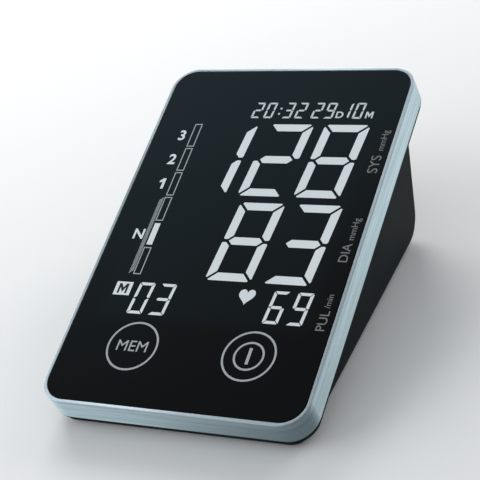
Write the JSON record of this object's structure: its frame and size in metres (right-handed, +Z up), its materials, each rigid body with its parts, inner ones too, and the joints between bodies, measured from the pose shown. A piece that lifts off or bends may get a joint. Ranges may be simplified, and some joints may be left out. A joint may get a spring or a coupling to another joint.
{
  "type": "blood pressure monitor",
  "caption": "Table-top upper-arm blood pressure monitor: a leaning glass display slab with touch keys on a hollow wedge with battery door, air socket and rubber feet.",
  "frame": {"origin": "on the table, under the middle of the whole object", "axes": "+X right, +Y away from the user, +Z up"},
  "size_m": [0.1016, 0.1505, 0.0598],
  "materials": {
    "lens": "gloss",
    "bezel": "satin",
    "housing": "fine texture",
    "rubber": "matte",
    "steel": "plain",
    "tape": "matte",
    "board": "satin",
    "chip": "matte",
    "cell_glass": "gloss",
    "clear": "gloss",
    "white_plastic": "satin",
    "battery": "satin",
    "silicone": "satin",
    "grey_plastic": "satin"
  },
  "bodies": {
    "monitor": {"front_lens": "lens", "lens_tape": "tape", "bezel_frame": "bezel", "rear_housing": "housing", "rubber_feet": "rubber", "housing_screws": "steel", "main_board": "board", "board_screws": "steel", "display_cell": "cell_glass", "backlight_guide": "clear", "strip_connectors": "rubber", "display_holder": "white_plastic", "key_light_rings": "clear", "touch_electrodes": "rubber", "board_chips": "chip", "buzzer": "chip", "pressure_sensor": "grey_plastic", "battery_cell_1": "battery", "battery_cell_2": "battery", "battery_cell_3": "battery", "battery_cell_4": "battery", "contact_plates": "steel", "contact_springs": "steel", "pump_motor": "steel", "pump_sleeve": "rubber", "pump_case": "grey_plastic", "pump_diaphragm": "rubber", "pump_cover": "grey_plastic", "valve_body": "steel", "valve_cap": "grey_plastic", "cuff_socket": "grey_plastic", "air_manifold": "grey_plastic", "tube_socket": "silicone", "tube_sensor": "silicone", "tube_pump": "silicone", "tube_valve": "silicone", "port_board": "board", "mains_socket": "chip", "usb_socket": "steel"},
    "battery_door": {"battery_door": "housing"},
    "pump_crank": {"pump_crank": "steel"},
    "valve_plunger": {"valve_plunger": "steel"}
  },
  "joints": [
    {"name": "door_slide", "type": "slide", "parent": "monitor", "child": "battery_door", "axis": [0, 1, 0], "range_m": [0, 0.06]},
    {"name": "pump_spin", "type": "hinge", "parent": "monitor", "child": "pump_crank", "pos_m": [0, 0.04482, 0.02855], "axis": [1, 0, 0], "continuous": true},
    {"name": "valve_stroke", "type": "slide", "parent": "monitor", "child": "valve_plunger", "axis": [-1, 0, 0], "range_m": [0, 0.001], "stiffness_N_per_m": 40, "springref_m": -0.0005}
  ]
}
